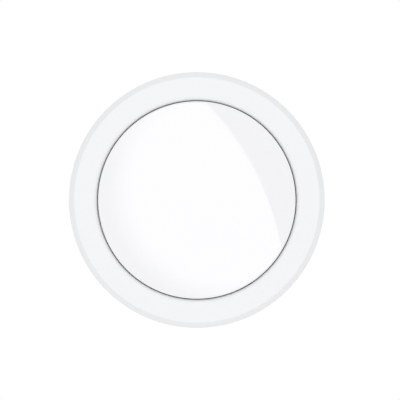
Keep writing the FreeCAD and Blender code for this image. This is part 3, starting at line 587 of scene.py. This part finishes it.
# Gears: natural acetal, moulded, a little waxy. The motor's pinion is milled brass, and the output sleeve
# is turned brass with the screw's thread inside it.
ACETAL = (0.84, 0.83, 0.78)
ACETAL_SHOWS_THROUGH = 0.12
ACETAL_DEPTH = 0.001
BRASS = (0.78, 0.60, 0.30)

acetal = plastic("waxy_acetal", ACETAL, roughness=0.34, grain=2500.0, tone=0.06, marks=0.08)
waxy = acetal.node_tree.nodes["Principled BSDF"]
waxy.inputs["Subsurface Weight"].default_value = ACETAL_SHOWS_THROUGH
waxy.inputs["Subsurface Scale"].default_value = ACETAL_DEPTH
turned_brass = metal("turned_brass", BRASS, roughness=0.22, marks=turned_group, tarnish=0.2)
dress(acetal, "output_wheel", "third_gear", "second_gear", "first_gear")
dress(turned_brass, "output_sleeve", "motor_pinion")


# Plunger: turned stainless steel with two milled flats, and at its front end the screw that the output
# sleeve turns on. Its flat end pushes the valve's pin.
plunger_low, plunger_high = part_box("plunger")
PLUNGER_RADIUS = 0.005
PLUNGER_FLAT = 0.0041
PLUNGER_EDGE = 0.0005
PLUNGER_ROOT = 0.0033
PLUNGER_CREST = 0.004
PLUNGER_SHANK = 0.008
KEPT_BELOW_ROOT = 0.0003
STAINLESS = (0.70, 0.70, 0.70)

tip, shoulder, screw_front = plunger_high.y, plunger_high.y - PLUNGER_SHANK, plunger_low.y
bright_steel = metal("bright_steel", STAINLESS, roughness=0.18, marks=turned_group)
shank = double_d("plunger_shank", PLUNGER_RADIUS, PLUNGER_FLAT, tip, shoulder)
soften(shank, PLUNGER_EDGE, segments=3, angle=60)
core = turned("plunger_core", [
    (0, shoulder), (PLUNGER_ROOT, shoulder), (PLUNGER_ROOT, screw_front), (0, screw_front)], steps=96)
round_rim(core, PLUNGER_ROOT, screw_front, PLUNGER_EDGE)
finish_edit()
smooth(core)
kept_inside, kept_outside = PLUNGER_ROOT - KEPT_BELOW_ROOT, PLUNGER_CREST + THREAD_MARGIN
first_turn = screw_front + PLUNGER_EDGE
plunger_thread = screw_thread(
    "plunger_thread", PLUNGER_ROOT - THREAD_SINK, PLUNGER_CREST, shoulder, screw_front, [
        (kept_inside, shoulder), (kept_outside, shoulder),
        (kept_outside, first_turn + PLUNGER_CREST - PLUNGER_ROOT), (kept_inside, first_turn)])
fit(shank, "plunger", "steel", bright_steel, "plunger")
fit(core, "plunger", "steel", bright_steel)
fit(plunger_thread, "plunger", "steel", bright_steel)


# Motor: a deep-drawn steel can with a moulded end cap, joined to the board by a ribbon of amber film with
# copper lines in it.
RIBBON_PITCH = 0.0011
RIBBON_LINE_SHARE = 0.45
AMBER_FILM = (0.60, 0.33, 0.08)
COPPER_LINE = (0.75, 0.42, 0.22)
DRAWN_STEEL = (0.55, 0.56, 0.58)
PLAIN_WHITE = (0.80, 0.80, 0.79)


def point_on_piece(tree):
    """The X, Y and Z of a point of the surface, as sockets."""
    place = add_node(tree, "TexCoord")
    parts = add_node(tree, "SeparateXYZ")
    tree.links.new(place.outputs["Object"], parts.inputs["Vector"])
    return parts.outputs["X"], parts.outputs["Y"], parts.outputs["Z"]


def inlay(material, mask, colour, metallic=0.0):
    """Lays a colour over a material where a mask is 1, metallic there to some share."""
    tree = material.node_tree
    shader = tree.nodes["Principled BSDF"]
    under = shader.inputs["Base Color"].links[0].from_socket
    over = add_node(tree, "Mix", data_type="RGBA", B=(*colour, 1.0))
    link = tree.links.new
    link(mask, over.inputs["Factor"])
    link(under, over.inputs["A"])
    link(over.outputs["Result"], shader.inputs["Base Color"])
    if metallic:
        sheen = add_math(tree, "MULTIPLY", metallic)
        link(mask, sheen.inputs[0])
        link(sheen.outputs["Value"], shader.inputs["Metallic"])


def ribbon_film(name):
    """Amber film with evenly spaced copper lines, X being the way across them."""
    material = plastic(name, AMBER_FILM, roughness=0.25, grain=2500.0, depth=0.000002, tone=0.1)
    tree = material.node_tree
    across = point_on_piece(tree)[0]
    phase = add_math(tree, "PINGPONG", RIBBON_PITCH / 2)
    line = add_math(tree, "LESS_THAN", RIBBON_PITCH / 2 * RIBBON_LINE_SHARE)
    tree.links.new(across, phase.inputs[0])
    tree.links.new(phase.outputs["Value"], line.inputs[0])
    inlay(material, line.outputs["Value"], COPPER_LINE, metallic=0.8)
    return material


drawn_steel = metal("drawn_steel", DRAWN_STEEL, roughness=0.26, marks=turned_group, tarnish=0.1)
plain_white = plastic("plain_white", PLAIN_WHITE, roughness=0.38, grain=3500.0, depth=0.000006, tone=0.05)
dress(drawn_steel, "motor_can")
dress(plain_white, "motor_cap")
dress(ground_steel, "motor_shaft")
dress(ribbon_film("amber_film_lines"), "motor_flex")


# Cells: two AA cells side by side, one each way round, in a moulded cradle. Each is a drawn steel can in
# a film of slate and silver, shrunk round it and over its ends, which leaves the contact faces bare.
CELL_RADIUS = 0.00725
CELL_LENGTH = 0.0495
CELL_FOOT_RADIUS = 0.0046
CELL_GROOVE = (0.0049, 0.0058)
CELL_GROOVE_DEPTH = 0.0003
CELL_SHOULDER = (0.0031, 0.0056)
CELL_SHOULDER_DEPTH = 0.0006
CELL_NUB_RADIUS = 0.00275
CELL_NUB = 0.001
CELL_NUB_FILLET = 0.0002
CELL_NUB_ROUND = 0.0003
FILM_FOLD = 0.0062
FILM_THICKNESS = 0.0001
FILM_ROUND = 0.0004
CELL_BAND = 0.0135
CELL_STEEL = (0.66, 0.66, 0.66)
SLATE_FILM = (0.12, 0.14, 0.17)
SILVER_FILM = (0.66, 0.67, 0.68)


def cell_film(name, band_start, band_end):
    """Glossy slate film with a silver band at the nub's end, between two places along the head."""
    material = plastic(name, SLATE_FILM, roughness=0.2, grain=900.0, depth=0.000002, tone=0.2, marks=0.12)
    tree = material.node_tree
    along = point_on_piece(tree)[1]
    after = add_math(tree, "GREATER_THAN", min(band_start, band_end))
    before = add_math(tree, "LESS_THAN", max(band_start, band_end))
    band = add_node(tree, "Math", operation="MULTIPLY")
    link = tree.links.new
    link(along, after.inputs[0])
    link(along, before.inputs[0])
    link(after.outputs["Value"], band.inputs[0])
    link(before.outputs["Value"], band.inputs[1])
    inlay(material, band.outputs["Value"], SILVER_FILM, metallic=0.7)
    return material


dress(plain_white, "battery_cradle")
cell_steel = metal("cell_steel", CELL_STEEL, roughness=0.2, marks=rolled_group)
can_radius = CELL_RADIUS - FILM_THICKNESS
fold_end = CELL_LENGTH - FILM_THICKNESS
shoulder_y = CELL_LENGTH - CELL_SHOULDER_DEPTH
nub_y = CELL_LENGTH + CELL_NUB
can = turned("cell_can", [
    (0, 0), (CELL_FOOT_RADIUS, 0),
    (CELL_GROOVE[0], CELL_GROOVE_DEPTH), (CELL_GROOVE[1], CELL_GROOVE_DEPTH),
    (FILM_FOLD, FILM_THICKNESS), (can_radius, FILM_THICKNESS),
    (can_radius, fold_end), (FILM_FOLD, fold_end),
    (CELL_SHOULDER[1], shoulder_y), (CELL_SHOULDER[0], shoulder_y),
    (CELL_NUB_RADIUS, shoulder_y + CELL_NUB_FILLET), (CELL_NUB_RADIUS, nub_y), (0, nub_y)], steps=96)
round_rim(can, CELL_NUB_RADIUS, nub_y, CELL_NUB_ROUND, segments=3)
finish_edit()
smooth(can, angle=40)
film = turned("cell_wrap", [
    (FILM_FOLD, 0), (CELL_RADIUS, 0), (CELL_RADIUS, CELL_LENGTH), (FILM_FOLD, CELL_LENGTH),
    (FILM_FOLD, fold_end), (can_radius, fold_end), (can_radius, FILM_THICKNESS),
    (FILM_FOLD, FILM_THICKNESS)], steps=96)
round_rim(film, CELL_RADIUS, 0, FILM_ROUND)
round_rim(film, CELL_RADIUS, CELL_LENGTH, FILM_ROUND)
finish_edit()
smooth(film, angle=30)
for side, nub_to_front in (("left", True), ("right", False)):
    low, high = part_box(side + "_cell")
    foot_y, nub_end = (high.y, low.y) if nub_to_front else (low.y, high.y)
    turn = pi if nub_to_front else 0.0
    band_end = nub_end + (CELL_BAND if nub_to_front else -CELL_BAND)
    place = ((low.x + high.x) / 2, foot_y, (low.z + high.z) / 2)
    metal_part = copy_moved(can, side + "_cell_can", place, turn)
    film_part = copy_moved(film, side + "_cell_film", place, turn)
    fit(film_part, "body", "cell_can", cell_film(side + "_film", nub_end, band_end), side + "_cell")
    fit(metal_part, "body", "cell_can", cell_steel)
bpy.data.objects.remove(can)
bpy.data.objects.remove(film)


# Contacts: springy steel strip with a nickel plating, stamped and folded to leaves that press on the
# cells. One at the rear joins the cells, and two at the front have legs that reach the board.
PLATED_STRIP = (0.68, 0.66, 0.62)
plated_strip = metal("plated_strip", PLATED_STRIP, roughness=0.2, marks=rolled_group, depth=0.000001)
dress(plated_strip, "contact_bridge", "front_contacts")


# Battery cover: the same matt white plastic as the shell, curved to continue it, with a rail along each
# side. It pulls off downwards by a scooped thumb grip with three ribs.
PANEL_RAIL = 0.0012
PANEL_EDGE = 0.0002
SCOOP_RADIUS = 0.014
SCOOP_DEPTH = 0.0008
SCOOP_SETBACK = 0.007
SCOOP_LENGTH = 0.018
RIB_PITCH = 0.0018
RIB_WIDTH = 0.0006
RIB_HEIGHT = 0.0003
RIB_ROUND = 0.00022
RIB_HALF_LENGTHS = (0.0038, 0.0046, 0.0038)


def underside(radius, half, steps):
    """Points along the underside of a circle round the head's axis, at the cover's rear end."""
    reach = asin(half / radius)
    angles = [reach * (2 * i / steps - 1) for i in range(steps + 1)]
    return [(radius * sin(a), door_high.y, -radius * cos(a)) for a in angles]


half_width = door_high.x
inside_width = half_width - PANEL_RAIL
panel = new_piece("battery_panel")
draw_line([
    *underside(shell_radius, half_width, steps=64),
    (half_width, door_high.y, door_high.z), (inside_width, door_high.y, door_high.z),
    *reversed(underside(inner_radius, inside_width, steps=56)),
    (-inside_width, door_high.y, door_high.z), (-half_width, door_high.y, door_high.z)], closed=True)
merge_doubles()
bpy.ops.mesh.edge_face_add()
bpy.ops.mesh.select_all(action="SELECT")
bpy.ops.mesh.extrude_region_move(TRANSFORM_OT_translate={"value": (0, door_low.y - door_high.y, 0)})
finish_edit()
scoop = new_piece("scoop")
scoop_y = door_low.y + SCOOP_SETBACK
scoop_z = -shell_radius + SCOOP_DEPTH - SCOOP_RADIUS
bpy.ops.mesh.primitive_cylinder_add(vertices=180, radius=SCOOP_RADIUS, depth=SCOOP_LENGTH,
                                    location=(0, scoop_y, scoop_z), rotation=(0, radians(90), 0))
finish_edit()
cut_away(panel, scoop)
soften(panel, PANEL_EDGE, segments=3, angle=28)
fit(panel, "battery_door", "body_white", shell_white, "battery_cover")

ribs = new_piece("grip_ribs")
for i, half_length in enumerate(RIB_HALF_LENGTHS):
    off = (i - len(RIB_HALF_LENGTHS) // 2) * RIB_PITCH
    middle = (0, scoop_y + off, scoop_z + sqrt(SCOOP_RADIUS**2 - off**2))
    bpy.ops.mesh.select_all(action="DESELECT")
    bpy.ops.mesh.primitive_cube_add(size=1, location=middle)
    bpy.ops.transform.resize(value=(2 * half_length, RIB_WIDTH, 2 * RIB_HEIGHT), center_override=middle)
finish_edit()
soften(ribs, RIB_ROUND, segments=3)
fit(ribs, "battery_door", "body_white", shell_white)


# Front frame, board and what stands on it: a green board with copper lines and plated holes, a radio under
# its tinned can, three small switches, and the display with the black grid that keeps its lights apart.
BOARD_GREEN = (0.045, 0.17, 0.10)
TRACE_GREEN = (0.075, 0.25, 0.14)
PAD_TIN = (0.72, 0.70, 0.64)
BLACK_EPOXY = (0.022, 0.022, 0.025)
TRACES_PER_METRE = 420.0
VIAS_PER_METRE = 360.0
VIA_SIZE = 0.16
CAN_SETBACK = 0.00085


def circuit_board(name, can_front=None):
    """Solder mask over copper lines with tinned holes; in front of can_front, if given, a tinned can."""
    material = plastic(name, BOARD_GREEN, roughness=0.3, grain=1800.0, depth=0.000003, tone=0.2)
    tree = material.node_tree
    place = add_node(tree, "TexCoord")
    flat = add_node(tree, "Mapping", Rotation=ALONG_Y)
    lines = add_node(tree, "TexBrick", Scale=TRACES_PER_METRE, Mortar_Size=0.09, Brick_Width=1.7,
                     Row_Height=0.42, offset=0.37)
    holes = add_node(tree, "TexVoronoi", Scale=VIAS_PER_METRE, Randomness=0.8)
    via = add_math(tree, "LESS_THAN", VIA_SIZE)
    link = tree.links.new
    link(place.outputs["Object"], flat.inputs["Vector"])
    link(flat.outputs["Vector"], lines.inputs["Vector"])
    link(place.outputs["Object"], holes.inputs["Vector"])
    link(holes.outputs["Distance"], via.inputs[0])
    tinned = via.outputs["Value"]
    if can_front is not None:
        can = add_math(tree, "LESS_THAN", can_front)
        either = add_node(tree, "Math", operation="MAXIMUM")
        link(point_on_piece(tree)[1], can.inputs[0])
        link(can.outputs["Value"], either.inputs[0])
        link(tinned, either.inputs[1])
        tinned = either.outputs["Value"]
    inlay(material, lines.outputs["Fac"], TRACE_GREEN)
    inlay(material, tinned, PAD_TIN, metallic=1.0)
    return material


radio_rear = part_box("radio_module")[1].y
black_epoxy = plastic("black_epoxy", BLACK_EPOXY, roughness=0.48, grain=4200.0, depth=0.00001, tone=0.3)
dress(grey_nylon, "front_frame")
dress(circuit_board("green_board"), "main_board", "temperature_sensor")
dress(circuit_board("radio_can", radio_rear - CAN_SETBACK), "radio_module")
dress(black_epoxy, "board_chips", "display_module", "light_mask", "tact_switches")


# Setting ring: matt white plastic, moulded, with eight magnets in it, turned by hand round the front
# frame. Its face rolls over into the seam at the cover, and a bevel runs round its outer edge.
ring_low, ring_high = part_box("setting_ring")
ring_radius = ring_high.x
RING_BEVEL = 0.00115
RING_BEVEL_ROUND = 0.00012
RING_REAR_ROUND = 0.0002
RING_HOLE_RADIUS = 0.021755
RING_BORE_RADIUS = 0.02468
RING_WALL = 0.0022
LIP_WIDTH = 0.00095
LIP_DEPTH = 0.0018
LIP_STEPS = 9
WHITE_RING = (0.925, 0.933, 0.95)

ring_plastic = plastic("ring_plastic", WHITE_RING, roughness=0.5, grain=7000.0, depth=0.000006, marks=0.05)
ring_front, ring_rear = ring_low.y, ring_high.y
lip_angles = [pi / 2 * (1 - i / LIP_STEPS) for i in range(LIP_STEPS + 1)]
lip = [(RING_HOLE_RADIUS + LIP_WIDTH * (1 - cos(a)), ring_front + LIP_DEPTH * (1 - sin(a)))
       for a in lip_angles]
ring = turned("setting_ring_rim", [
    (RING_BORE_RADIUS, ring_rear), (ring_radius, ring_rear), (ring_radius, ring_front + RING_BEVEL),
    (ring_radius - RING_BEVEL, ring_front), *lip,
    (RING_HOLE_RADIUS, ring_front + RING_WALL), (RING_BORE_RADIUS, ring_front + RING_WALL)], steps=240)
round_rim(ring, ring_radius - RING_BEVEL, ring_front, RING_BEVEL_ROUND, segments=2)
round_rim(ring, ring_radius, ring_front + RING_BEVEL, RING_BEVEL_ROUND, segments=2)
round_rim(ring, ring_radius, ring_rear, RING_REAR_ROUND, segments=3)
finish_edit()
smooth(ring, angle=25)
apply_modifier(ring, "WEIGHTED_NORMAL", keep_sharp=True)
fit(ring, "ring", "ring_white", ring_plastic, "setting_ring")
dress(nickel, "ring_magnets")


# Front cover: a polished disc of white acrylic, a shallow dome with a rounded rim, that is pressed as a
# button. A moulded frame behind it hooks into the front frame and carries three stems to the switches.
cover_low, cover_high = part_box("front_cover")
COVER_RADIUS = 0.02163
COVER_CROWN = 0.0006
COVER_RIM_ROUND = 0.0003
COVER_RIM_SUPPORT = 0.00005
DOME_STEPS = 24
WHITE_COVER = (0.912, 0.916, 0.928)

cover_gloss = plastic("cover_gloss", WHITE_COVER, roughness=0.015, grain=1500.0, depth=0.0000001, tone=0.0,
                      marks=0.012)
apex, back = cover_low.y, cover_high.y
dome_radii = [COVER_RADIUS * i / DOME_STEPS for i in range(DOME_STEPS)]
dome_radii += [COVER_RADIUS - COVER_RIM_ROUND - COVER_RIM_SUPPORT, COVER_RADIUS]
dome = [(r, apex + COVER_CROWN * (r / COVER_RADIUS) ** 2) for r in dome_radii]
cover = turned("front_disc", [*dome, (COVER_RADIUS, back), (0, back)], steps=240)
round_rim(cover, COVER_RADIUS, apex + COVER_CROWN, COVER_RIM_ROUND, segments=5)
finish_edit()
smooth(cover, angle=25)
apply_modifier(cover, "WEIGHTED_NORMAL", keep_sharp=True)
fit(cover, "button", "cover_white", cover_gloss, "front_cover")
dress(plain_white, "button_frame", "switch_stems")


# Floor: a round sheet of pale paper well below the head, a little brighter to the camera than its light
# makes it. From underneath it is clear, so that the head can be seen from there too.
FLOOR_BELOW = 0.6
FLOOR_MIDDLE = -0.045
FLOOR_RADIUS = 0.5
FLOOR_GLOW = 0.2
PAPER = (0.9, 0.9, 0.9, 1)
PAPER_ROUGHNESS = 0.7
floor = new_piece("floor")
bpy.ops.mesh.primitive_circle_add(vertices=96, radius=FLOOR_RADIUS, fill_type="NGON",
                                  location=(0, FLOOR_MIDDLE, -FLOOR_BELOW))
bpy.ops.object.mode_set(mode="OBJECT")
floor_pale = bpy.data.materials.new("floor_pale")
floor_pale.use_nodes = True
ground = floor_pale.node_tree
paper = ground.nodes["Principled BSDF"]
paper.inputs["Base Color"].default_value = PAPER
paper.inputs["Roughness"].default_value = PAPER_ROUGHNESS
paper.inputs["Emission Color"].default_value = (1, 1, 1, 1)
looked_at = add_node(ground, "LightPath")
glow_seen = add_math(ground, "MULTIPLY", FLOOR_GLOW)
under = add_node(ground, "NewGeometry")
clear = add_node(ground, "BsdfTransparent")
top_only = add_node(ground, "MixShader")
link = ground.links.new
link(looked_at.outputs["Is Camera Ray"], glow_seen.inputs[0])
link(glow_seen.outputs["Value"], paper.inputs["Emission Strength"])
link(under.outputs["Backfacing"], top_only.inputs["Fac"])
link(paper.outputs["BSDF"], top_only.inputs[1])
link(clear.outputs["BSDF"], top_only.inputs[2])
link(top_only.outputs["Shader"], ground.nodes["Material Output"].inputs["Surface"])
floor.data.materials.append(floor_pale)


# Room: plain white to the camera, to reflections and through glass. Its light is strongest from in front,
# fades towards the sides, less so above and below, and comes up again behind the head.
ROOM_FRONT = 1.003
ROOM_SIDE = 0.355
ROOM_TILT = 0.42
ROOM_ABOVE_AND_BELOW = 0.8
ROOM_FADE = (-1.0, 0.6)
BACK_LIGHT = 0.42
BACK_FADE = (0.3, 0.8)
world = bpy.context.scene.world or bpy.data.worlds.new("room")
bpy.context.scene.world = world
world.use_nodes = True
room = world.node_tree
room.nodes.clear()
seen = add_node(room, "LightPath")
direct = add_node(room, "Math", operation="MAXIMUM")
seen_any = add_node(room, "Math", operation="MAXIMUM")
strength = add_node(room, "MapRange", To_Max=1.0)
way = add_node(room, "TexCoord")
parts = add_node(room, "SeparateXYZ")
tilted = add_math(room, "MULTIPLY_ADD", ROOM_TILT)
squared = add_node(room, "Math", operation="MULTIPLY")
shade = add_math(room, "MULTIPLY_ADD", -ROOM_ABOVE_AND_BELOW)
front_to_side = add_node(room, "MapRange", interpolation_type="SMOOTHSTEP", From_Min=ROOM_FADE[0],
                         From_Max=ROOM_FADE[1], To_Min=ROOM_FRONT, To_Max=ROOM_SIDE)
behind = add_node(room, "MapRange", interpolation_type="SMOOTHSTEP", From_Min=BACK_FADE[0],
                  From_Max=BACK_FADE[1], To_Max=BACK_LIGHT)
both = add_node(room, "Math", operation="ADD")
glow = add_node(room, "Background", Color=(1, 1, 1, 1))
sky = add_node(room, "OutputWorld")
link = room.links.new
link(seen.outputs["Is Camera Ray"], direct.inputs[0])
link(seen.outputs["Is Glossy Ray"], direct.inputs[1])
link(direct.outputs["Value"], seen_any.inputs[0])
link(seen.outputs["Is Transmission Ray"], seen_any.inputs[1])
link(seen_any.outputs["Value"], strength.inputs["Value"])
link(way.outputs["Generated"], parts.inputs["Vector"])
link(parts.outputs["Z"], tilted.inputs[0])
link(parts.outputs["Y"], tilted.inputs[2])
link(parts.outputs["Z"], squared.inputs[0])
link(parts.outputs["Z"], squared.inputs[1])
link(squared.outputs["Value"], shade.inputs[0])
link(tilted.outputs["Value"], shade.inputs[2])
link(shade.outputs["Value"], front_to_side.inputs["Value"])
link(parts.outputs["Y"], behind.inputs["Value"])
link(front_to_side.outputs["Result"], both.inputs[0])
link(behind.outputs["Result"], both.inputs[1])
link(both.outputs["Value"], strength.inputs["To Min"])
link(strength.outputs["Result"], glow.inputs["Strength"])
link(glow.outputs["Background"], sky.inputs["Surface"])


# Softbox: a large round cloth beside the camera, bright in one spot where its lamp is near and dim
# elsewhere. Mirrored in the cover, its spot is the bright middle and its rim is the crescent's edge.
SOFTBOX_RADIUS = 0.667
SOFTBOX_BACK = 1.7
SOFTBOX_PLACE = (-0.455, -0.236)
SOFTBOX_RADIANCE = 2.08
HOT_SPOT_PLACE = (0.068, 0.032)
HOT_SPOT_EDGE = (0.219, 0.291)
AWAY_FROM_SPOT = 0.07
softbox_y = ring_front - SOFTBOX_BACK
softbox_light = bpy.data.lights.new("softbox", "AREA")
softbox_light.shape = "DISK"
softbox_light.size = 2 * SOFTBOX_RADIUS
# The power in watts of a disk that gives this radiance all over.
softbox_light.energy = SOFTBOX_RADIANCE * pi * pi * SOFTBOX_RADIUS**2
softbox_light.use_nodes = True
cloth = softbox_light.node_tree
over_cloth = add_node(cloth, "NewGeometry")
from_spot = add_node(cloth, "VectorMath", operation="DISTANCE")
from_spot.inputs[1].default_value = (HOT_SPOT_PLACE[0], softbox_y, HOT_SPOT_PLACE[1])
fade = add_node(cloth, "MapRange", interpolation_type="SMOOTHSTEP", From_Min=HOT_SPOT_EDGE[0],
                From_Max=HOT_SPOT_EDGE[1], To_Min=1.0, To_Max=AWAY_FROM_SPOT)
cloth.links.new(over_cloth.outputs["Position"], from_spot.inputs[0])
cloth.links.new(from_spot.outputs["Value"], fade.inputs["Value"])
cloth.links.new(fade.outputs["Result"], cloth.nodes["Emission"].inputs["Strength"])
softbox = bpy.data.objects.new("softbox", softbox_light)
bpy.context.scene.collection.objects.link(softbox)
softbox.location = (SOFTBOX_PLACE[0], softbox_y, SOFTBOX_PLACE[1])
softbox.rotation_euler = ALONG_Y
softbox.visible_camera = False


# Camera: a long lens, square to the front, which sees VIEW_WIDTH at the place where the ring is widest.
# The head stands a touch left of the middle, as it does in the picture.
VIEW_WIDTH = 0.0876
CAMERA_BACK = 1.5
CAMERA_RIGHT = 0.0007
SENSOR_WIDTH = 36.0
lens = bpy.data.cameras.new("camera")
lens.sensor_width = SENSOR_WIDTH
lens.lens = SENSOR_WIDTH * CAMERA_BACK / VIEW_WIDTH
camera = bpy.data.objects.new("camera", lens)
bpy.context.scene.collection.objects.link(camera)
camera.location = (CAMERA_RIGHT, ring_front + RING_BEVEL - CAMERA_BACK, 0)
camera.rotation_euler = ALONG_Y
bpy.context.scene.camera = camera
